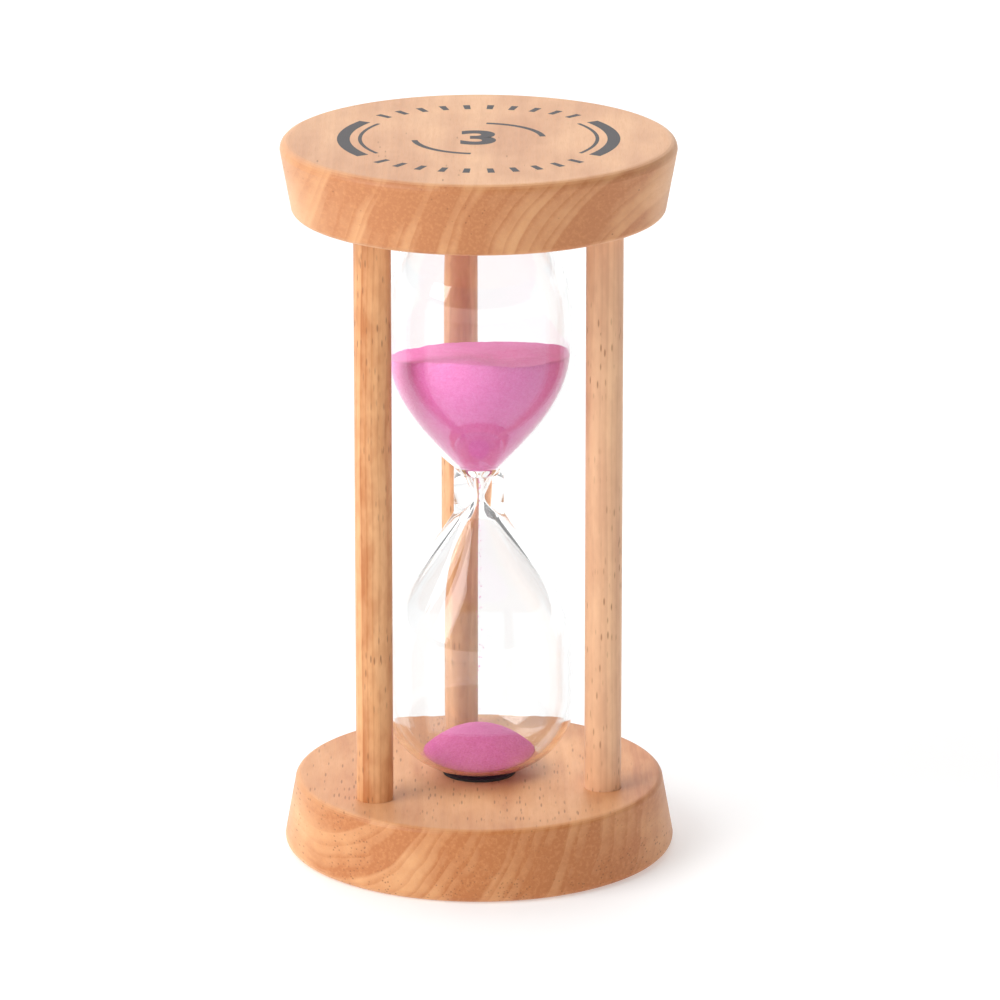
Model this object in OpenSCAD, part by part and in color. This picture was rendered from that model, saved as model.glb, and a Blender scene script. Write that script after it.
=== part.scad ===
// Small sand timer: a clear blown bulb held between two turned beech discs on three dowels.
// Millimetres, +Z up. The origin is the centre of the flat face that the timer stands on,
// and the timer's own axis is Z. Both ends are alike, so it also stands on its other face.

/* [Discs] */
// Diameter of a disc at its outer face, the one that the timer stands on
disc_wide_d = 53; // [50:0.5:56]
// Diameter of a disc at its inner face, the one towards the glass
disc_narrow_d = 50.2; // [48:0.2:52]
// Thickness of a disc
disc_t = 9.8; // [9:0.2:12]
// Radius of the softened edge round the outer face
wide_edge_r = 1.2; // [0.4:0.1:1.6]
// Radius of the softened edge round the inner face
narrow_edge_r = 0.9; // [0.6:0.1:2]

/* [Frame] */
// Height over both discs
overall_h = 98.6; // [96:0.2:102]
// Diameter of a dowel
dowel_d = 5; // [4:0.1:5.6]
// Radius of the circle that the three dowels stand on
dowel_circle_r = 18; // [17.4:0.1:18.6]
// Depth of the blind hole that a dowel is glued into
socket_depth = 6; // [4:0.2:7]

/* [Glass] */
// Diameter of the two bellies
belly_d = 26.4; // [24:0.2:27]
// Outer diameter of the solid-looking neck between the bellies
neck_d = 6.8; // [5.8:0.1:7.6]
// How far the straight part of the neck reaches above the orifice
upper_neck_h = 4; // [3:0.1:4.5]
// How far the straight part of the neck reaches below the orifice
lower_neck_h = 2.5; // [1.5:0.1:3.5]
// Diameter of the hole that the sand runs through
orifice_d = 1; // [0.8:0.05:1.4]
// Wall thickness at the bellies
belly_wall = 0.9; // [0.7:0.05:1.2]
// Height above the neck at which the upper belly reaches its full diameter
upper_belly_rise = 20.5; // [19:0.1:22]
// Depth below the neck at which the lower belly reaches its full diameter
lower_belly_rise = 21.5; // [20:0.1:23]
// Height above the neck at which the upper bulb starts to close
upper_crown_rise = 24.5; // [23:0.1:26]
// Depth below the neck at which the lower bulb starts to close
lower_crown_rise = 28; // [26:0.1:29]
// Diameter of the short tip at each end of the glass
tip_d = 6.2; // [5.6:0.1:6.6]
// Diameter of the filling hole in the lower tip
fill_hole_d = 4.2; // [3.6:0.1:4.4]

/* [Seats] */
// Outer diameter of the black rubber seat round each tip
seat_d = 9.9; // [9:0.1:11]
// How far a seat stands proud of its disc
seat_proud = 0.3; // [0.1:0.05:0.6]
// Depth of the recess that holds a seat
recess_depth = 3; // [2.8:0.1:3.6]

/* [Sand] */
// Height of the upper sand above the neck, on the timer's axis
sand_rise = 19.5; // [10:0.1:20]
// Slope of the upper sand's surface, which is lower at the back
sand_slope = 7; // [0:0.5:10]
// Height above the orifice at which the upper sand thins out into the falling thread
sand_foot_rise = 3.4; // [3.2:0.1:4.5]
// Radius of the mound in the lower bulb
mound_r = 7.8; // [6:0.1:9]
// Height of the mound above its own rim
mound_h = 3.8; // [3:0.1:5]

/* [Hidden] */
$fn = 96;

BEECH = "burlywood";
BEECH_DARK = "peru";
SAND = "orchid";
RUBBER = "dimgray";

// Clearances of parts that are glued or pushed together
glue_gap = 0.03;
seat_gap = 0.05;
sand_gap = 0.05;
tip_gap = 0.1;

// Chamfer on the ends of the dowels and of the stopper
chamfer = 0.3;

// Segments of each curved stretch of an outline
shoulder_steps = 16;
crown_steps = 12;
edge_steps = 5;

// How slowly the glass opens out from the neck to a belly: the upper bulb is the rounder one
upper_outer_opening = 0.93;
lower_outer_opening = 1.15;
upper_cavity_opening = 0.95;
lower_cavity_opening = 1.2;
// Half the height of the narrowest part of the cavity
orifice_half_h = 0.3;
// Wide ends of the two small funnels in the thick neck: [radius, distance from the orifice]
upper_funnel = [1.2, 3];
lower_funnel = [0.7, 1];
// Fullness of the closed ends of the bulbs: 2 is an ellipse, and more is squarer
end_fullness = 2.15;
// Fullness of the mound: 1 is a cone, and 2 is a round dome
mound_fullness = 1.9;

neck_z = overall_h / 2;
belly_r = belly_d / 2;
cavity_r = belly_r - belly_wall;
tip_r = tip_d / 2;
fill_r = fill_hole_d / 2;
// The glass ends bear on the two seats, this far from the neck
bearing_rise = neck_z - disc_t - seat_proud;
// The tips stop short of the recess floor by this much, and this far from the neck
tip_clearance = 0.6;
tip_rise = neck_z - disc_t + recess_depth - tip_clearance;
// Thickness of the glass at its two ends, and thickness of the stopper's head
end_wall = 0.7;
stopper_head_h = 0.4;
// Radius at the foot of the falling thread of sand
stream_foot_r = 0.3;

// ---- outlines -------------------------------------------------------------------------

// Corner of an outline, rounded between the angles a0 and a1
function corner(cx, cz, r, a0, a1) =
  [for (i = [0:edge_steps]) let (a = a0 + (a1 - a0) * i / edge_steps)
    [cx + r * cos(a), cz + r * sin(a)]];

// Stretch from the neck to a belly: [radius, distance from the orifice]
function shoulder(r0, r1, h0, h1, opening) =
  [for (i = [0:shoulder_steps]) let (u = i / shoulder_steps)
    [r0 + (r1 - r0) * sin(90 * pow(u, opening)), h0 + (h1 - h0) * u]];

// Angle at which the rounded end of a bulb has come in from the belly radius r to the radius r_end
function crown_angle(r, r_end) = acos(pow(r_end / r, end_fullness / 2));

// Rounded end of a bulb, from the belly radius r in to the radius r_end
function crown(r, r_end, h0, depth) =
  [for (i = [1:crown_steps]) let (a = crown_angle(r, r_end) * i / crown_steps)
    [r * pow(cos(a), 2 / end_fullness), h0 + depth * pow(sin(a), 2 / end_fullness)]];

// Depth of a rounded end that has the radius r_end at the distance h1 from the neck
function crown_depth(r, r_end, h0, h1) =
  (h1 - h0) / pow(sin(crown_angle(r, r_end)), 2 / end_fullness);

// Height of a rounded end, measured from where it starts, at the radius r_at
function crown_height(r, r_at, depth) = depth * pow(sin(crown_angle(r, r_at)), 2 / end_fullness);

// The two bulbs: side of the orifice, rise of the belly, rise of the closed end, height of the
// straight neck, opening of the outside, opening of the cavity, and funnel
UPPER = [
  1, upper_belly_rise, upper_crown_rise, upper_neck_h,
  upper_outer_opening, upper_cavity_opening, upper_funnel
];
LOWER = [
  -1, lower_belly_rise, lower_crown_rise, lower_neck_h,
  lower_outer_opening, lower_cavity_opening, lower_funnel
];
function side(bulb) = bulb[0];
function belly_rise(bulb) = bulb[1];
function crown_rise(bulb) = bulb[2];
function neck_h(bulb) = bulb[3];
function outer_opening(bulb) = bulb[4];
function cavity_opening(bulb) = bulb[5];
function funnel(bulb) = bulb[6];

// Depth of the rounded end of one bulb, and of its cavity
function end_depth(bulb) = crown_depth(belly_r, tip_r, crown_rise(bulb), bearing_rise);
function cavity_depth(bulb) = end_depth(bulb) - end_wall;

// Outside of one bulb, from the orifice's level to the end of its tip
function outside(bulb) = concat(
  [[neck_d / 2, 0]],
  shoulder(neck_d / 2, belly_r, neck_h(bulb), belly_rise(bulb), outer_opening(bulb)),
  [[belly_r, crown_rise(bulb)]],
  crown(belly_r, tip_r, crown_rise(bulb), end_depth(bulb)),
  [[tip_r, tip_rise]]
);

// Inside of one bulb, shrunk by gap, from the orifice to the radius r_end
function inside(bulb, r_end, gap) = let (
  r_start = orifice_d / 2 - gap,
  r_belly = cavity_r - gap,
  r_funnel = funnel(bulb)[0] - gap,
  funnel_rise = funnel(bulb)[1]
) concat(
  [[r_start, 0], [r_start, orifice_half_h]],
  shoulder(r_funnel, r_belly, funnel_rise, belly_rise(bulb), cavity_opening(bulb)),
  [[r_belly, crown_rise(bulb)]],
  crown(r_belly, r_end, crown_rise(bulb), cavity_depth(bulb) - gap)
);

// Outline of one bulb at its own side of the orifice
function placed(points, bulb) = [for (p = points) [p[0], neck_z + side(bulb) * p[1]]];

function reversed(points) = [for (i = [len(points) - 1:-1:0]) points[i]];

function last(points) = points[len(points) - 1];

// ---- wood -----------------------------------------------------------------------------

// Solid turned disc with its wide face on z = 0
module disc_blank() {
  wide_r = disc_wide_d / 2;
  narrow_r = disc_narrow_d / 2;
  rotate_extrude()
    polygon(concat(
      [[0, 0]],
      corner(wide_r - wide_edge_r, wide_edge_r, wide_edge_r, -90, 0),
      corner(narrow_r - narrow_edge_r, disc_t - narrow_edge_r, narrow_edge_r, 0, 90),
      [[0, disc_t]]
    ));
}

// Disc with its three blind dowel holes and the recess for the glass
module disc() {
  difference() {
    disc_blank();
    for (angle = [90, 210, 330])
      rotate(angle)
        translate([dowel_circle_r, 0, disc_t - socket_depth])
          cylinder(d = dowel_d + 2 * glue_gap, h = socket_depth + 1);
    translate([0, 0, disc_t - recess_depth])
      cylinder(d = seat_d + 2 * seat_gap, h = recess_depth + 1);
  }
}

module base_disc() {
  color(BEECH) disc();
}

module top_disc() {
  color(BEECH) translate([0, 0, overall_h]) mirror([0, 0, 1]) disc();
}

// One dowel at an angle round the axis, glued into both discs
module dowel(angle) {
  bottom = disc_t - socket_depth + glue_gap;
  length = overall_h - 2 * bottom;
  r = dowel_d / 2;
  rotate(angle)
    translate([dowel_circle_r, 0, bottom])
      rotate_extrude()
        polygon([
          [0, 0], [r - chamfer, 0], [r, chamfer],
          [r, length - chamfer], [r - chamfer, length], [0, length]
        ]);
}

module dowel_left() {
  color(BEECH_DARK) dowel(210);
}

module dowel_right() {
  color(BEECH_DARK) dowel(330);
}

module dowel_back() {
  color(BEECH_DARK) dowel(90);
}

// ---- glass and its fittings -----------------------------------------------------------

// One piece of blown glass: two bulbs, a pinched neck, a closed upper tip and a lower tip
// with the filling hole
module glass_bulb() {
  color("lightcyan", 0.35)
    rotate_extrude()
      polygon(concat(
        reversed(placed(outside(LOWER), LOWER)),
        placed(outside(UPPER), UPPER),
        [[0, neck_z + tip_rise]],
        reversed(placed(inside(UPPER, 0, 0), UPPER)),
        placed(inside(LOWER, fill_r, 0), LOWER),
        [[fill_r, neck_z - tip_rise]]
      ));
}

// Stopper that is pushed into the filling hole after the sand
module fill_stopper() {
  r = fill_r - glue_gap;
  head_r = tip_r - chamfer;
  // Inner end of the filling hole, where the cavity's rounded end meets it
  top = last(placed(inside(LOWER, fill_r, 0), LOWER))[1];
  bottom = neck_z - tip_rise - stopper_head_h;
  head_top = bottom + stopper_head_h;
  color(RUBBER)
    rotate_extrude()
      polygon([
        [0, bottom], [head_r, bottom], [head_r, head_top], [r, head_top],
        [r, top - chamfer], [r - chamfer, top], [0, top]
      ]);
}

// Rubber ring that fills a recess and that one end of the glass bears on
module seat() {
  floor_z = disc_t - recess_depth;
  difference() {
    translate([0, 0, floor_z])
      cylinder(d = seat_d, h = recess_depth + seat_proud);
    translate([0, 0, floor_z - 1])
      cylinder(r = tip_r + tip_gap, h = recess_depth + seat_proud + 2);
  }
}

module seat_base() {
  color(RUBBER) seat();
}

module seat_top() {
  color(RUBBER) translate([0, 0, overall_h]) mirror([0, 0, 1]) seat();
}

// ---- sand -----------------------------------------------------------------------------

// Charge still in the upper bulb: the cavity from the foot of the sand up to a sloping surface
module sand_upper() {
  color(SAND)
    intersection() {
      rotate_extrude()
        polygon(concat(
          placed(inside(UPPER, 0, sand_gap), UPPER),
          [[0, neck_z]]
        ));
      translate([0, 0, neck_z + sand_rise])
        rotate([-sand_slope, 0, 0])
          translate([-disc_wide_d / 2, -disc_wide_d / 2, -overall_h])
            cube([disc_wide_d, disc_wide_d, overall_h]);
      translate([0, 0, neck_z + sand_foot_rise])
        cylinder(d = belly_d, h = upper_crown_rise);
    }
}

// Height of the mound's rim, where it meets the cavity's rounded end
rim_z = neck_z - lower_crown_rise - crown_height(cavity_r, mound_r, cavity_depth(LOWER));

// Surface of the mound from its top down to its rim, and on down past the cavity's wall
function mound_surface() = [for (i = [0:crown_steps + 3]) let (u = i / crown_steps)
  [mound_r * u, rim_z + mound_h * (1 - pow(u, mound_fullness))]];

// Mound that has run into the lower bulb: a dome on the cavity's rounded end
module sand_lower() {
  cavity = placed(inside(LOWER, fill_r, sand_gap), LOWER);
  color(SAND)
    intersection() {
      rotate_extrude()
        polygon(concat(cavity, [[0, last(cavity)[1]], [0, neck_z]]));
      rotate_extrude()
        polygon(concat(mound_surface(), [[last(mound_surface())[0], 0], [0, 0]]));
    }
}

// Thread of sand that falls through the orifice to the top of the mound
module sand_stream() {
  top_r = orifice_d / 2 - 2 * sand_gap;
  top_z = neck_z + sand_foot_rise - sand_gap;
  foot_z = rim_z + mound_h;
  color(SAND)
    rotate_extrude()
      polygon([
        [0, foot_z], [stream_foot_r, foot_z],
        [top_r, neck_z], [top_r, top_z], [0, top_z]
      ]);
}

base_disc();
top_disc();
dowel_left();
dowel_right();
dowel_back();
glass_bulb();
fill_stopper();
seat_base();
seat_top();
sand_upper();
sand_lower();
sand_stream();
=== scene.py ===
"""Looks of a small sand timer: beech discs and dowels, a clear blown bulb and pink sand.

Everything is in metres, in the frame of the CAD model: +Z up along the timer's axis, +Y towards
the back dowel, and z = 0 on the face that the timer stands on. The patterns of the finishes are
laid out in millimetres.
"""

import math
import random

import bmesh
import bpy
from mathutils import Matrix, Vector, noise


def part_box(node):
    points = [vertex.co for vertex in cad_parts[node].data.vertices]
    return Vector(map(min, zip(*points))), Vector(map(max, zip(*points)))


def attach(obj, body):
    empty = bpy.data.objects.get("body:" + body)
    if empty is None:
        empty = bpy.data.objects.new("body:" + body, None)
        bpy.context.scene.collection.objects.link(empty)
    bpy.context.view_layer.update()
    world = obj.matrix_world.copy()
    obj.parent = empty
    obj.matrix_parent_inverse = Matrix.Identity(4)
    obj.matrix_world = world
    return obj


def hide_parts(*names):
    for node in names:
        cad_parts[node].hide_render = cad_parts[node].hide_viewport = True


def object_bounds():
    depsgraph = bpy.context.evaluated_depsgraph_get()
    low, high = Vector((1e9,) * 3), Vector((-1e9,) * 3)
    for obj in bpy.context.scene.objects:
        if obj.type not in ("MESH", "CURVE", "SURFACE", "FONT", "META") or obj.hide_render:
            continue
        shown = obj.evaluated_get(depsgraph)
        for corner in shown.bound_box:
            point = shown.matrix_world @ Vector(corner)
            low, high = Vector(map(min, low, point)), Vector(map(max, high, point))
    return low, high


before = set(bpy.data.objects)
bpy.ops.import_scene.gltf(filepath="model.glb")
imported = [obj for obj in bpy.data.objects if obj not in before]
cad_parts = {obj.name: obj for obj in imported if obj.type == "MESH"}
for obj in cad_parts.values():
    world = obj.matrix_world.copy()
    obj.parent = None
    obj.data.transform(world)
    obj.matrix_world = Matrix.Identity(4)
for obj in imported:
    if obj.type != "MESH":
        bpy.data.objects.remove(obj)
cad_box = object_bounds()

MM = 0.001

# ---- driving dimensions, from the frame --------------------------------------------------------

TOP_Z = cad_box[1][2]
NECK_Z = TOP_Z / 2
DISC_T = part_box("base_disc")[1].z
BELLY_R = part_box("glass_bulb")[1].x
TIP_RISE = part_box("glass_bulb")[1].z - NECK_Z
SEAT_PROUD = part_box("seat_base")[1].z - DISC_T

# ---- dimensions of the glass, as the CAD model has them ----------------------------------------

NECK_R = 3.4 * MM
ORIFICE_R = 0.5 * MM
ORIFICE_HALF_H = 0.3 * MM
BELLY_WALL = 0.9 * MM
END_WALL = 0.7 * MM
TIP_R = 3.1 * MM
FILL_R = 2.1 * MM
END_FULLNESS = 2.15
BEARING_RISE = NECK_Z - DISC_T - SEAT_PROUD

# How the two bulbs differ: side of the orifice, how far from it the straight neck ends, the belly
# is full and the closed end starts, how slowly the outside and the cavity open out, and the wide
# end of the small funnel in the neck as radius and distance from the orifice
UPPER = {
    "side": 1,
    "neck_h": 4 * MM,
    "belly_rise": 20.5 * MM,
    "crown_rise": 24.5 * MM,
    "outer": 0.93,
    "cavity": 0.95,
    "funnel": (1.2 * MM, 3 * MM),
}
LOWER = {
    "side": -1,
    "neck_h": 2.5 * MM,
    "belly_rise": 21.5 * MM,
    "crown_rise": 28 * MM,
    "outer": 1.15,
    "cavity": 1.2,
    "funnel": (0.7 * MM, 1 * MM),
}

# ---- dimensions of the sand --------------------------------------------------------------------

SAND_RISE = 19.5 * MM
SAND_SLOPE = math.radians(7)
SAND_GAP = 0.05 * MM
SAND_FOOT_RISE = 3.4 * MM
MOUND_R = 7.8 * MM
MOUND_H = 3.8 * MM
MOUND_FULLNESS = 1.9

# Heaps and hollows of the upper sand's surface: centre x and y, radius and height, all in mm
HEAPS = (
    (-4.5, -8.5, 5.5, 0.85),
    (9.0, 1.0, 6.0, 0.55),
    (2.0, -2.0, 3.0, -0.55),
    (-7.5, 4.0, 4.0, -0.20),
    (4.0, -9.5, 3.5, -0.25),
)
RIPPLE_H = 0.16
RIPPLES_PER_MM = 0.45

# The sand's surfaces: smallest gap between two points, and how often the grains repeat per mm
POINT_GAP = 0.12 * MM
GRAINS_PER_MM = 4.0

FALLING_GRAINS = 90

# ---- directions --------------------------------------------------------------------------------

# Bearing that the timer's front faces, and the turn that brings the fibres onto X
FRONT = -98.5
ALONG = math.radians(-FRONT)
FIBRE_WAY = (math.cos(math.radians(FRONT)), math.sin(math.radians(FRONT)), 0)
DIAL_TURN = math.radians(FRONT + 90)


# ---- shader maths ------------------------------------------------------------------------------


class Value:
    """A shader socket that Python's operators work on."""

    def __init__(self, finish, socket):
        self.finish = finish
        self.socket = socket

    def maths(self, operation, *others):
        inputs = dict(enumerate((self,) + others))
        return self.finish.node("ShaderNodeMath", {"operation": operation}, inputs)

    def __add__(self, other):
        return self.maths("ADD", other)

    def __radd__(self, other):
        return self.maths("ADD", other)

    def __sub__(self, other):
        return self.maths("SUBTRACT", other)

    def __rsub__(self, other):
        return self.finish.node("ShaderNodeMath", {"operation": "SUBTRACT"}, {0: other, 1: self})

    def __mul__(self, other):
        return self.maths("MULTIPLY", other)

    def __rmul__(self, other):
        return self.maths("MULTIPLY", other)

    def __truediv__(self, other):
        return self.maths("DIVIDE", other)

    def __pow__(self, other):
        return self.maths("POWER", other)

    def clamped(self):
        return self.finish.node(
            "ShaderNodeMath", {"operation": "ADD", "use_clamp": True}, {0: self, 1: 0.0}
        )

    def ramped(self, low, high):
        """0 below low, 1 above high, and smooth between them."""
        return self.finish.node(
            "ShaderNodeMapRange",
            {"interpolation_type": "SMOOTHSTEP"},
            {"Value": self, "From Min": low, "From Max": high},
        )


class Finish:
    """One material, built from nodes."""

    def __init__(self, name):
        self.material = bpy.data.materials.new(name)
        self.material.use_nodes = True
        self.tree = self.material.node_tree
        self.tree.nodes.clear()

    def node(self, kind, settings=None, inputs=None, output=0):
        """Adds a node: its settings first, then the values or links of its sockets."""
        made = self.tree.nodes.new(kind)
        for key, value in (settings or {}).items():
            setattr(made, key, value)
        for key, value in (inputs or {}).items():
            socket = made.inputs[key]
            if isinstance(value, Value):
                self.tree.links.new(value.socket, socket)
            else:
                socket.default_value = value
        return Value(self, made.outputs[output]) if len(made.outputs) else None

    def other(self, value, output):
        """Another output of the node that a value comes from."""
        return Value(self, value.socket.node.outputs[output])

    def place(self, turn=(0, 0, 0), shift=(0, 0, 0)):
        """Object coordinates in millimetres, turned and then shifted."""
        coords = self.node("ShaderNodeTexCoord", output="Object")
        return self.node(
            "ShaderNodeMapping",
            {"vector_type": "POINT"},
            {"Vector": coords, "Location": shift, "Rotation": turn, "Scale": (1000, 1000, 1000)},
        )

    def stretched(self, coords, stretch):
        return self.node(
            "ShaderNodeVectorMath", {"operation": "MULTIPLY"}, {0: coords, 1: stretch}
        )

    def noise(self, coords, scale, detail, roughness=0.5):
        return self.node(
            "ShaderNodeTexNoise",
            {"noise_dimensions": "3D"},
            {"Vector": coords, "Scale": scale, "Detail": detail, "Roughness": roughness},
        )

    def cells(self, coords, scale):
        """Distance to the nearest of many scattered points, and a random number for each point."""
        distance = self.node(
            "ShaderNodeTexVoronoi",
            {"feature": "F1", "voronoi_dimensions": "3D"},
            {"Vector": coords, "Scale": scale, "Randomness": 1.0},
        )
        chance = self.node("ShaderNodeSeparateColor", None, {0: self.other(distance, "Color")})
        return distance, chance

    def mixed(self, factor, a, b):
        """Colour between a and b."""
        return self.node(
            "ShaderNodeMix", {"data_type": "RGBA"}, {0: factor, 6: a, 7: b}, output=2
        )

    def bump(self, height, strength, distance):
        return self.node(
            "ShaderNodeBump",
            None,
            {"Height": height, "Strength": strength, "Distance": distance},
        )

    def principled(self, inputs):
        return self.node("ShaderNodeBsdfPrincipled", None, inputs)

    def surface(self, shader):
        self.node("ShaderNodeOutputMaterial", None, {"Surface": shader})
        return self.material


# ---- wood --------------------------------------------------------------------------------------

BEECH_PALE = (0.80, 0.425, 0.195, 1)
BEECH_MID = (0.70, 0.31, 0.11, 1)
BEECH_DEEP = (0.50, 0.17, 0.048, 1)
BEECH_FLECK = (0.27, 0.10, 0.035, 1)
# Light tone that the painted sheen mixes in, standing in for white light reflected off the wood
BEECH_SHEEN_PALE = (0.93, 0.66, 0.46, 1)

# How often each pattern repeats per mm, along the fibres and twice across them
RING_SWINGS = (0.02, 0.07, 0.07)
CLOUDS = (0.05, 0.13, 0.13)
MOTTLES = (0.3, 0.7, 0.7)
FIBRES = (0.10, 2.2, 2.2)
FINE_FIBRES = (0.45, 8.0, 8.0)
FLECK_PATCHES = (0.06, 0.10, 0.10)
FLECKS_ACROSS = 2.1

# Gap between the thin rings, as a share of the gap between the growth rings
THIN_RING_SHARE = 0.27

# How much each pattern deepens the tone
PLAIN_DEPTH = 0.14
RING_DEPTH = 0.70
CLOUD_DEPTH = 0.55
END_GRAIN_DEPTH = 0.34
FIBRE_TINT = 0.42
FINE_FIBRE_TINT = 0.24
FLECK_TINT = 0.66


def beech(
    name,
    turn,
    shift,
    pith,
    ring_gap,
    wander,
    fleck_length,
    flecks,
    mottling,
    painted_shade_right=0.0,
    painted_sheen=0.0,
    fibre_way=None,
):
    """Solid beech. The fibres run along X after the turn, and the rings centre on the pith.

    The lengths are in mm. flecks is the share of the cells that hold a dark ray.
    painted_shade_right is painted shade: it darkens the board towards +Y, the right-hand side seen
    from the front, away from the key lamp. painted_sheen is painted sheen: it pales the whole
    board towards a light beech tone, as white light reflected off the wood would. With fibre_way,
    the direction of the fibres in the piece, faces that are cut across the fibres show end grain.
    """
    wood = Finish(name)
    grain = wood.place(turn, shift)
    parts = wood.node("ShaderNodeSeparateXYZ", None, {0: grain})
    across = wood.other(parts, "Y")
    upward = wood.other(parts, "Z")

    def pattern(repeats, detail, roughness=0.5):
        return wood.noise(wood.stretched(grain, repeats), 1.0, detail, roughness)

    # growth rings: distance from the pith, made uneven. Late wood darkens slowly and ends sharply
    swing = pattern(RING_SWINGS, 2.0) * wander
    reach = ((across - pith[0]) ** 2.0 + (upward - pith[1]) ** 2.0) ** 0.5 + swing
    uneven = wood.node(
        "ShaderNodeTexNoise",
        {"noise_dimensions": "1D"},
        {"W": reach * 0.16, "Scale": 1.0, "Detail": 1.0},
    )
    phase = reach / ring_gap + 1.5 * uneven
    ring = phase.maths("FRACT")
    late = ring.ramped(0.1, 0.86) * (1 - ring.ramped(0.88, 1.0))
    year = wood.node(
        "ShaderNodeTexWhiteNoise", {"noise_dimensions": "1D"}, {"W": phase.maths("FLOOR")}
    )
    thin_ring = (reach / (ring_gap * THIN_RING_SHARE) + uneven).maths("FRACT")
    thin_late = thin_ring.ramped(0.45, 0.9) * (1 - thin_ring.ramped(0.9, 1.0))
    rings = late * (0.35 + 0.75 * year) + 0.36 * thin_late

    # how squarely the fibres' ends are cut: end grain drinks the oil and shows the rings
    if fibre_way:
        facing = wood.node("ShaderNodeNewGeometry", output="Normal")
        cut = wood.node(
            "ShaderNodeVectorMath", {"operation": "DOT_PRODUCT"}, {0: facing, 1: fibre_way}, 1
        )
        end_grain = cut.maths("ABSOLUTE").ramped(0.25, 0.95)
        rings = rings * (0.30 + 0.75 * end_grain)
    else:
        end_grain = 0.0

    # clouds, fibres, finer fibres, and short dark rays that stand together in patches
    cloud = pattern(CLOUDS, 3.0)
    fibre = pattern(FIBRES, 3.0, 0.6)
    fine_fibre = pattern(FINE_FIBRES, 2.0, 0.6)
    ray_repeats = (1 / fleck_length, FLECKS_ACROSS, FLECKS_ACROSS)
    ray_distance, chance = wood.cells(wood.stretched(grain, ray_repeats), 1.0)
    patches = pattern(FLECK_PATCHES, 1.0)
    held = chance.ramped(1 - flecks, 1.08 - flecks) * patches.ramped(0.38, 0.58)
    fleck = (1 - ray_distance.ramped(0.12, 0.34)) * held

    depth = PLAIN_DEPTH + rings * RING_DEPTH + CLOUD_DEPTH * (cloud.ramped(0.30, 0.72) - 0.35)
    mottle = pattern(MOTTLES, 2.0, 0.6)
    depth = depth + END_GRAIN_DEPTH * end_grain + mottling * (mottle.ramped(0.30, 0.70) - 0.5)
    # painted shade: the board darkens towards +Y, the side away from the key lamp
    if painted_shade_right:
        depth = depth + painted_shade_right * across.ramped(2.0, 22.0)
    tone = wood.mixed(depth.clamped(), BEECH_PALE, BEECH_DEEP)
    tone = wood.mixed((fibre.ramped(0.42, 0.75) * FIBRE_TINT).clamped(), tone, BEECH_MID)
    tone = wood.mixed((fine_fibre.ramped(0.5, 0.8) * FINE_FIBRE_TINT).clamped(), tone, BEECH_DEEP)
    # painted sheen: the whole board pales towards a light tone, as white light reflected off it
    # would
    tone = wood.mixed(painted_sheen, tone, BEECH_SHEEN_PALE)
    tone = wood.mixed((fleck * FLECK_TINT).clamped(), tone, BEECH_FLECK)

    relief = 0.35 * fibre + 0.35 * fine_fibre - 0.5 * fleck
    return wood.surface(
        wood.principled(
            {
                "Base Color": tone,
                "Roughness": 0.42 + 0.16 * fine_fibre + 0.12 * fleck,
                "IOR": 1.5,
                "Sheen Weight": 0.14,
                "Sheen Roughness": 0.4,
                "Normal": wood.bump(relief, 0.35, 0.12 * MM),
            }
        )
    )


# ---- sand, rubber, ink, glass ------------------------------------------------------------------

SAND_PALE = (0.97, 0.29, 0.68, 1)
SAND_DEEP = (0.86, 0.155, 0.49, 1)
# Painted shade: the mound is the same sand as the charge, given darker tones that stand in for the
# shade it lies in
SHADED_MOUND_PALE = (0.62, 0.145, 0.37, 1)
SHADED_MOUND_DEEP = (0.48, 0.075, 0.23, 1)
RUBBER_DARK = (0.012, 0.010, 0.010, 1)
RUBBER_PALE = (0.035, 0.03, 0.03, 1)
INK_FULL = (0.035, 0.030, 0.034, 1)
INK_WORN = (0.16, 0.10, 0.075, 1)
GLASS_TINT = (0.962, 0.966, 0.966, 1)
SHADOW_TINT = (0.96, 0.97, 0.97, 1)
BOARD_PALE = (0.72, 0.72, 0.72, 1)
BOARD_DEEP = (0.69, 0.69, 0.69, 1)
BLACK = (0, 0, 0, 1)
WHITE = (1, 1, 1, 1)

# A ray that is still inside the wall of the glass after this many bounces is let out
MOST_BOUNCES = 4


def pink_sand(name, pale, deep):
    """Dyed sand: every grain has its own tone, and the tone drifts a little between grains. Its
    downward faces glow a little: painted light that stands in for light from the table below.
    """
    sand = Finish(name)
    coords = sand.place()
    grain, shade = sand.cells(coords, 5.0)
    drift = sand.noise(coords, 0.30, 3.0, 0.6)
    mix = (0.18 + 0.50 * shade - 0.35 * (drift - 0.5)).clamped()
    tone = sand.mixed(mix, pale, deep)

    # painted light: the sand's downward faces glow by themselves, at up to 0.45 of the sand's
    # tone, standing in for light that comes up from the table, through the glass, onto the sand's
    # underside
    facing = sand.node("ShaderNodeNewGeometry", output="True Normal")
    parts = sand.node("ShaderNodeSeparateXYZ", None, {0: facing})
    painted_glow_mask = (0 - sand.other(parts, "Z")).ramped(0.6, 1.0)
    glow = sand.mixed(painted_glow_mask * 0.45, BLACK, tone)
    return sand.surface(
        sand.principled(
            {
                "Base Color": tone,
                "Roughness": 0.60 + 0.3 * shade,
                "IOR": 1.4,
                "Emission Color": glow,
                "Emission Strength": 1.0,
                "Normal": sand.bump(1 - grain, 0.5, 0.09 * MM),
            }
        )
    )


def black_rubber():
    rubber = Finish("black_rubber")
    speck = rubber.noise(rubber.place(), 6.0, 3.0, 0.6)
    return rubber.surface(
        rubber.principled(
            {
                "Base Color": rubber.mixed(speck.ramped(0.4, 0.8), RUBBER_DARK, RUBBER_PALE),
                "Roughness": 0.55 + 0.2 * speck,
                "Normal": rubber.bump(speck, 0.3, 0.08 * MM),
            }
        )
    )


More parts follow.
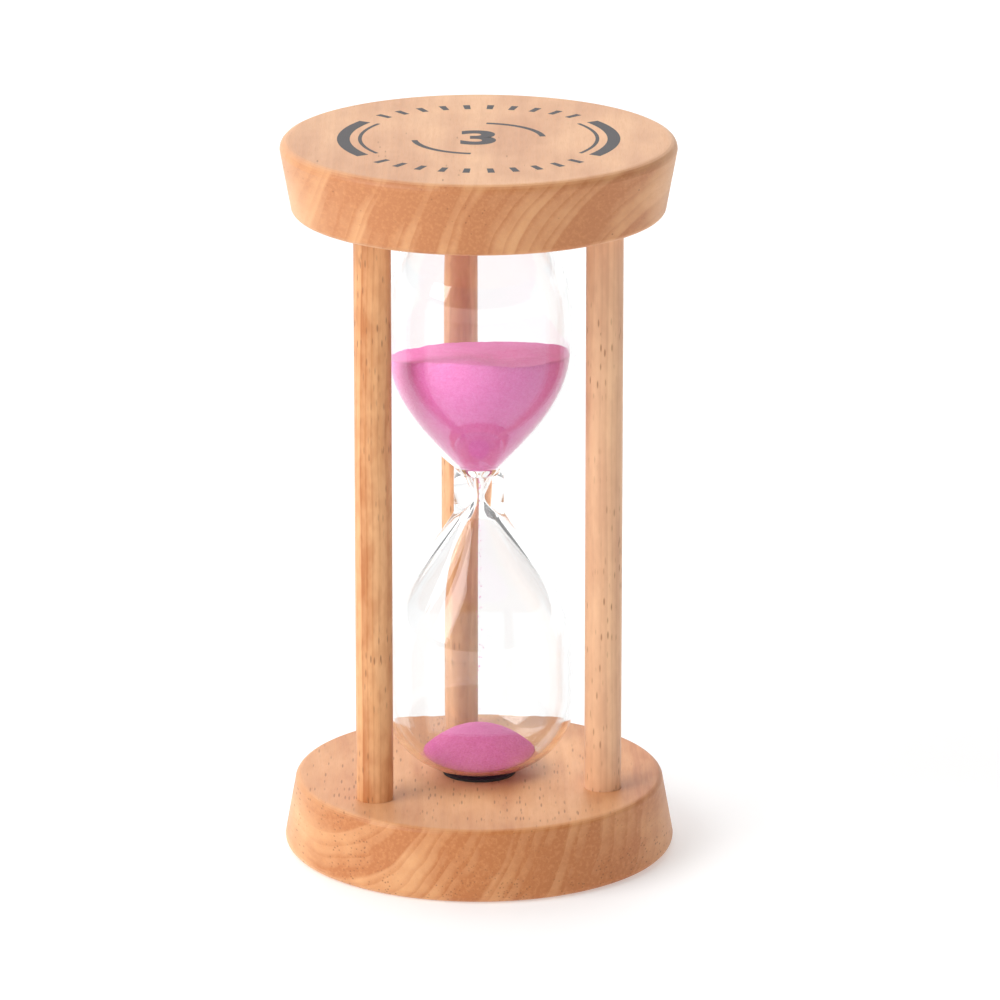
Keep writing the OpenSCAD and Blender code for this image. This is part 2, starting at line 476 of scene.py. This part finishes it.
def print_ink(turn):
    """Dark grey print that has sunk into the grain, so the grain shows through it."""
    ink = Finish("print_ink")
    fibre = ink.noise(ink.stretched(ink.place(turn), (0.3, 5.0, 5.0)), 1.0, 3.0, 0.6)
    return ink.surface(
        ink.principled(
            {
                "Base Color": ink.mixed(fibre.ramped(0.5, 0.85) * 0.35, INK_FULL, INK_WORN),
                "Roughness": 0.5 + 0.15 * fibre,
                "Normal": ink.bump(fibre, 0.3, 0.1 * MM),
            }
        )
    )


def clear_glass():
    """Glass that lets lamps through, so what is inside it is lit."""
    glass = Finish("clear_glass")
    body = glass.principled(
        {
            "Base Color": GLASS_TINT,
            "Roughness": 0.0,
            "IOR": 1.5,
            "Transmission Weight": 1.0,
        }
    )
    through = glass.node("ShaderNodeBsdfTransparent", None, {"Color": SHADOW_TINT})
    is_shadow = glass.node("ShaderNodeLightPath", output="Is Shadow Ray")
    trapped = glass.other(is_shadow, "Ray Depth").maths("GREATER_THAN", MOST_BOUNCES)
    straight_on = (is_shadow + trapped).clamped()
    return glass.surface(
        glass.node("ShaderNodeMixShader", None, {0: straight_on, 1: body, 2: through})
    )


def white_board(name, glow):
    """Matt white board of the stage, lit through from behind."""
    board = Finish(name)
    mottle = board.noise(board.place(), 0.02, 2.0)
    return board.surface(
        board.principled(
            {
                "Base Color": board.mixed(mottle * 0.2, BOARD_PALE, BOARD_DEEP),
                "Roughness": 0.7,
                "Emission Color": WHITE,
                "Emission Strength": glow,
            }
        )
    )


# ---- making pieces -----------------------------------------------------------------------------


def finished(bm, name, material, smooth=True):
    """Closes a bmesh, gives it a material and puts it in the scene as a piece on the frame."""
    bmesh.ops.remove_doubles(bm, verts=bm.verts, dist=1e-7)
    bmesh.ops.recalc_face_normals(bm, faces=bm.faces)
    mesh = bpy.data.meshes.new(name)
    bm.to_mesh(mesh)
    bm.free()
    for face in mesh.polygons:
        face.use_smooth = smooth
    mesh.materials.append(material)
    piece = bpy.data.objects.new(name, mesh)
    bpy.context.scene.collection.objects.link(piece)
    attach(piece, "root")
    return piece


def swept(bm, geom, angle, steps, closed=False):
    """Spins points and edges round the axis."""
    bmesh.ops.spin(
        bm,
        geom=geom,
        cent=(0, 0, 0),
        axis=(0, 0, 1),
        dvec=(0, 0, 0),
        angle=angle,
        steps=steps,
        use_merge=closed,
        use_duplicate=False,
    )


def spun(outline, steps):
    """Turns an outline of (radius, z) points round the axis."""
    bm = bmesh.new()
    verts = [bm.verts.new((r, 0, z)) for r, z in outline]
    edges = [bm.edges.new(pair) for pair in zip(verts, verts[1:])]
    swept(bm, verts + edges, 2 * math.pi, steps, closed=True)
    return bm


def shoulder_r(r0, r1, u, opening):
    """Radius of the glass at the fraction u of the way from the neck to a belly."""
    return r0 + (r1 - r0) * math.sin(math.pi / 2 * u**opening)


def shoulder(r0, r1, h0, h1, opening, steps=48):
    """Stretch of outline from the neck to a belly."""
    fractions = [i / steps for i in range(steps + 1)]
    return [(shoulder_r(r0, r1, u, opening), h0 + (h1 - h0) * u) for u in fractions]


def crown_angle(r, r_end):
    """Angle at which the rounded end of a bulb has come in from radius r to radius r_end."""
    return math.acos((r_end / r) ** (END_FULLNESS / 2))


def fuller(x):
    """Turns the sine or cosine of a circle into that of the rounded end's fuller curve."""
    return max(x, 0.0) ** (2 / END_FULLNESS)


def crown(r, r_end, h0, depth, steps=32):
    """Rounded end of a bulb."""
    angles = [crown_angle(r, r_end) * i / steps for i in range(1, steps + 1)]
    return [(r * fuller(math.cos(a)), h0 + depth * fuller(math.sin(a))) for a in angles]


def crown_depth(bulb):
    """Depth of the rounded end that brings the glass down onto its seat at the tip's radius."""
    return (BEARING_RISE - bulb["crown_rise"]) / fuller(math.sin(crown_angle(BELLY_R, TIP_R)))


def outside(bulb):
    """Outside of one bulb, as radius and distance from the orifice."""
    rise = bulb["crown_rise"]
    return (
        [(NECK_R, 0)]
        + shoulder(NECK_R, BELLY_R, bulb["neck_h"], bulb["belly_rise"], bulb["outer"])
        + [(BELLY_R, rise)]
        + crown(BELLY_R, TIP_R, rise, crown_depth(bulb))
        + [(TIP_R, TIP_RISE)]
    )


def inside(bulb, r_end, gap=0.0):
    """Cavity of one bulb in the same terms, or an outline that stands inside it by the gap."""
    rise = bulb["crown_rise"]
    r = BELLY_R - BELLY_WALL - gap
    funnel_r, funnel_rise = bulb["funnel"]
    return (
        [(ORIFICE_R - gap, 0), (ORIFICE_R - gap, ORIFICE_HALF_H)]
        + shoulder(funnel_r - gap, r, funnel_rise, bulb["belly_rise"], bulb["cavity"])
        + [(r, rise)]
        + crown(r, r_end, rise, crown_depth(bulb) - END_WALL - gap)
    )


def placed(points, bulb):
    """Brings an outline from distances from the orifice to levels in the frame."""
    return [(r, NECK_Z + bulb["side"] * h) for r, h in points]


def roughened(bm, amount):
    """Moves every point along its normal by a fine noise, as loose grains do."""
    bmesh.ops.remove_doubles(bm, verts=bm.verts, dist=POINT_GAP)
    bm.normal_update()
    for vert in bm.verts:
        speck = noise.noise(vert.co / MM * GRAINS_PER_MM)
        vert.co += vert.normal * speck * amount


# ---- glass and sand ----------------------------------------------------------------------------


def make_glass(material):
    outline = (
        placed(outside(LOWER), LOWER)[::-1]
        + placed(outside(UPPER), UPPER)[1:]
        + [(0, NECK_Z + TIP_RISE)]
        + placed(inside(UPPER, 0), UPPER)[::-1]
        + placed(inside(LOWER, FILL_R), LOWER)[1:]
        + [(FILL_R, NECK_Z - TIP_RISE), (TIP_R, NECK_Z - TIP_RISE)]
    )
    glass = finished(spun(outline, 144), "blown_bulb", material)
    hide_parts("glass_bulb")


def drifted(x, y):
    """How far the upper sand's surface stands above its mean slope."""
    rise = sum(
        h * math.exp(-(((x / MM - cx) ** 2 + (y / MM - cy) ** 2) / r**2)) for cx, cy, r, h in HEAPS
    )
    ripple = Vector((x / MM * RIPPLES_PER_MM, y / MM * RIPPLES_PER_MM, 3.0))
    rise += RIPPLE_H * noise.noise(ripple)
    return rise * MM


def upper_cavity_r(z):
    """Radius of the upper cavity at the level z, between its funnel and its belly."""
    funnel_r, funnel_rise = UPPER["funnel"]
    u = (z - NECK_Z - funnel_rise) / (UPPER["belly_rise"] - funnel_rise)
    return shoulder_r(funnel_r, BELLY_R - BELLY_WALL, min(u, 1), UPPER["cavity"])


def make_upper_sand(material):
    foot = NECK_Z + SAND_FOOT_RISE
    top = NECK_Z + SAND_RISE
    low = top - 4 * MM
    wall = [p for p in placed(inside(UPPER, 0, SAND_GAP), UPPER) if foot < p[1] < top]
    rim_r, rim_z = wall[-1]
    rings = 56
    lid = [(rim_r * (1 - i / rings), top) for i in range(1, rings + 1)]
    bm = spun([(0, foot), (upper_cavity_r(foot) - SAND_GAP, foot)] + wall + lid, 240)

    # The lid falls to the sand's own surface, and the wall above the low level stretches with it
    for vert in bm.verts:
        level = top - vert.co.y * math.tan(SAND_SLOPE) + drifted(vert.co.x, vert.co.y)
        if vert.co.z > rim_z + 0.001 * MM:
            vert.co.z = level
        elif vert.co.z > low:
            vert.co.z = low + (vert.co.z - low) * (level - low) / (rim_z - low)
            vert.co.xy = vert.co.xy.normalized() * (upper_cavity_r(vert.co.z) - SAND_GAP)
    roughened(bm, 0.04 * MM)
    sand = finished(bm, "sand_charge", material)
    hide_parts("sand_upper")


def mound_rim_z():
    """Level at which the lower cavity is as wide as the mound."""
    r = BELLY_R - BELLY_WALL
    depth = crown_depth(LOWER) - END_WALL
    return NECK_Z - LOWER["crown_rise"] - depth * fuller(math.sin(crown_angle(r, MOUND_R)))


def make_lower_sand(material):
    outline = inside(LOWER, FILL_R, SAND_GAP)
    wall = [p for p in outline if p[0] < MOUND_R and p[1] > LOWER["crown_rise"]]
    profile = [(0, NECK_Z - wall[-1][1])] + placed(wall, LOWER)[::-1]
    rings = 30
    for i in range(rings + 1):
        u = 1 - i / rings
        profile.append((MOUND_R * u, mound_rim_z() + MOUND_H * (1 - u**MOUND_FULLNESS)))
    bm = spun(profile, 120)
    roughened(bm, 0.05 * MM)
    mound = finished(bm, "sand_mound", material)
    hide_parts("sand_lower")


def make_falling_sand(material):
    """Loose grains that fall from the foot of the upper sand, closest together at the start."""
    chance = random.Random(3)
    start = NECK_Z + SAND_FOOT_RISE - 0.15 * MM
    drop = start - mound_rim_z() - MOUND_H - 0.2 * MM
    bm = bmesh.new()
    for _ in range(FALLING_GRAINS):
        fall = chance.random() ** 2.4
        spread = (0.10 + 0.25 * fall) * MM
        place = Vector((chance.gauss(0, spread), chance.gauss(0, spread), start - fall * drop))
        size = chance.uniform(0.05, 0.09) * MM
        bmesh.ops.create_icosphere(
            bm, subdivisions=1, radius=size, matrix=Matrix.Translation(place)
        )
    falling = finished(bm, "falling_grains", material)
    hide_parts("sand_stream")


# ---- print -------------------------------------------------------------------------------------


def ink_band(bm, radius, width, middle, half_length):
    """Flat printed band along an arc, both ways from its middle, in degrees."""
    inner, outer = (bm.verts.new((radius + side * width / 2, 0, 0)) for side in (-1, 1))
    edge = bm.edges.new((inner, outer))
    turn = Matrix.Rotation(math.radians(middle - half_length), 4, "Z")
    bmesh.ops.transform(bm, matrix=turn, verts=[inner, outer])
    length = (middle + half_length) - (middle - half_length)
    swept(bm, [inner, outer, edge], math.radians(length), max(2, round(length / 2)))


def add_numeral(bm, text, height):
    """Flat bold numeral, centred on the axis and upright along +Y."""
    curve = bpy.data.curves.new("numeral", "FONT")
    curve.body = text
    curve.size = height
    curve.offset = 0.035 * height
    curve.align_x = "CENTER"
    curve.align_y = "CENTER"
    lettering = bpy.data.objects.new("numeral", curve)
    mesh = bpy.data.meshes.new_from_object(lettering)
    bm.from_mesh(mesh)
    bpy.data.objects.remove(lettering)
    bpy.data.curves.remove(curve)
    bpy.data.meshes.remove(mesh)


def make_print(material):
    """Dial printed on the upper disc: a numeral for the minutes inside a ring of marks."""
    ring_r = 18 * MM
    bm = bmesh.new()
    add_numeral(bm, "3", 10.5 * MM)
    bmesh.ops.scale(bm, vec=(1.05, 1, 1), verts=bm.verts)
    for side in (0, 180):
        ink_band(bm, ring_r, 1.7 * MM, side, 32)
        ink_band(bm, ring_r - 2.2 * MM, 0.5 * MM, side, 32)
    for tick in range(45, 136, 10):
        for side in (0, 180):
            ink_band(bm, ring_r, 2.3 * MM, tick + side, 1.4)
    for side in (45, 225):
        ink_band(bm, 8.6 * MM, 0.8 * MM, side, 38)
    bmesh.ops.remove_doubles(bm, verts=bm.verts, dist=1e-6)
    bmesh.ops.recalc_face_normals(bm, faces=bm.faces)
    bmesh.ops.solidify(bm, geom=bm.faces[:], thickness=0.03 * MM)
    place = Matrix.Translation((0, 0, TOP_Z + 0.01 * MM)) @ Matrix.Rotation(DIAL_TURN, 4, "Z")
    bmesh.ops.transform(bm, matrix=place, verts=bm.verts)
    dial = finished(bm, "dial_print", material, smooth=False)


def dress(node, material):
    """Gives a CAD node its finish."""
    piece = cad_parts[node]
    piece.data.materials.clear()
    piece.data.materials.append(material)


# ---- camera, floor and light -------------------------------------------------------------------


def place_camera():
    """Long lens in front of the timer and a little above it. It aims beside the axis."""
    bearing = math.radians(FRONT)
    distance, height = 0.901, 0.3163
    aim_side, aim_height = 2.84, 48.4
    eye = Vector((distance * math.cos(bearing), distance * math.sin(bearing), height))
    across = Vector((-math.sin(bearing), math.cos(bearing), 0))
    target = across * aim_side * MM + Vector((0, 0, aim_height * MM))
    lens = bpy.data.cameras.new("camera")
    lens.lens = 250.5
    lens.sensor_width = 36
    lens.clip_start = 0.01
    camera = bpy.data.objects.new("camera", lens)
    camera.location = eye
    camera.rotation_euler = (target - eye).to_track_quat("-Z", "Y").to_euler()
    bpy.context.scene.collection.objects.link(camera)
    bpy.context.scene.camera = camera


def softbox(name, bearing, elevation, distance, width, height, glow):
    """Large soft lamp that faces the timer; glow is how bright its face is, with white as 1."""
    lamp = bpy.data.lights.new(name, "AREA")
    lamp.shape = "RECTANGLE"
    lamp.size = width
    lamp.size_y = height
    lamp.energy = glow * math.pi * width * height
    light = bpy.data.objects.new(name, lamp)
    a, e = math.radians(bearing), math.radians(elevation)
    away = Vector((math.cos(a) * math.cos(e), math.sin(a) * math.cos(e), math.sin(e)))
    light.location = Vector((0, 0, NECK_Z)) + away * distance
    light.rotation_euler = away.to_track_quat("Z", "Y").to_euler()
    light.visible_camera = False
    bpy.context.scene.collection.objects.link(light)


def staged(bm, name, glow):
    """Makes a white board of the stage from a bmesh."""
    mesh = bpy.data.meshes.new(name)
    bm.to_mesh(mesh)
    bm.free()
    mesh.materials.append(white_board(name, glow))
    board = bpy.data.objects.new(name, mesh)
    bpy.context.scene.collection.objects.link(board)


def set_stage():
    bm = bmesh.new()
    bmesh.ops.create_grid(bm, x_segments=1, y_segments=1, size=4.0)
    staged(bm, "floor", glow=0.35)

    # Low white wall all round, far away
    wall_r, wall_h = 3.6, 0.8
    bm = bmesh.new()
    bmesh.ops.create_circle(bm, segments=96, radius=wall_r, cap_ends=False)
    wall = bmesh.ops.extrude_edge_only(bm, edges=bm.edges[:])["geom"]
    upper_edge = [v for v in wall if isinstance(v, bmesh.types.BMVert)]
    bmesh.ops.translate(bm, vec=(0, 0, wall_h), verts=upper_edge)
    staged(bm, "backdrop", glow=0.8)

    world = bpy.data.worlds.new("studio")
    world.use_nodes = True
    sky = world.node_tree.nodes["Background"]
    sky.inputs["Color"].default_value = WHITE
    sky.inputs["Strength"].default_value = 0.28
    scene = bpy.context.scene
    scene.world = world
    softbox("key", bearing=198, elevation=38, distance=1.3, width=1.0, height=1.0, glow=4.7)
    softbox("back", bearing=95, elevation=42, distance=1.6, width=2.2, height=1.4, glow=1.7)
    scene.view_settings.view_transform = "Standard"
    scene.cycles.max_bounces = 32
    scene.cycles.transmission_bounces = 32


# ---- the timer ---------------------------------------------------------------------------------

place_camera()
set_stage()

# Where each disc lies in the wood, in mm, and how far its fibres slant from its faces
TOP_PLACE = (0, 0, -(TOP_Z - DISC_T / 2) / MM)
BASE_PLACE = (40, 0, -DISC_T / 2 / MM)
TOP_TURN = (math.radians(2), math.radians(2), ALONG)
BASE_TURN = (math.radians(-2), math.radians(-2), ALONG)

beech_top = beech(
    "beech_top",
    turn=TOP_TURN,
    shift=TOP_PLACE,
    pith=(31, -15),
    ring_gap=6.2,
    wander=2.5,
    fleck_length=2.6,
    flecks=0.08,
    mottling=0.1,
    # painted sheen
    painted_sheen=0.05,
    fibre_way=FIBRE_WAY,
)
beech_base = beech(
    "beech_base",
    turn=BASE_TURN,
    shift=BASE_PLACE,
    pith=(-22, 12),
    ring_gap=5.8,
    wander=4.5,
    fleck_length=3.2,
    flecks=0.6,
    mottling=0.12,
    # painted shade on the base's right-hand side
    painted_shade_right=0.45,
    fibre_way=FIBRE_WAY,
)
dress("top_disc", beech_top)
dress("base_disc", beech_base)

# The dowels are cut from one kind of board, each at its own place in it. The last number of each
# row is painted sheen: it pales a dowel as white light reflected off it would.
for node, name, shift, pith, painted_sheen in (
    ("dowel_left", "beech_left", (0, 3, 5), (-14, 9), 0.0),
    ("dowel_right", "beech_right", (7, 3, 5), (-14, 10), 0.4),
    ("dowel_back", "beech_back", (14, 3, 5), (-14, 11), 0.15),
):
    beech_dowel = beech(
        name,
        turn=(0, math.radians(90), 0),
        shift=shift,
        pith=pith,
        ring_gap=3.0,
        wander=2.0,
        fleck_length=2.2,
        flecks=0.62,
        mottling=0.4,
        painted_sheen=painted_sheen,
    )
    dress(node, beech_dowel)

rubber = black_rubber()
for fitting in ("fill_stopper", "seat_base", "seat_top"):
    dress(fitting, rubber)

loose_sand = pink_sand("loose_sand", SAND_PALE, SAND_DEEP)
make_upper_sand(loose_sand)
make_falling_sand(loose_sand)
# painted shade: the mound gets darker copies of the sand's tones
make_lower_sand(pink_sand("sand_with_painted_shade", SHADED_MOUND_PALE, SHADED_MOUND_DEEP))
make_glass(clear_glass())
make_print(print_ink((0, 0, ALONG)))
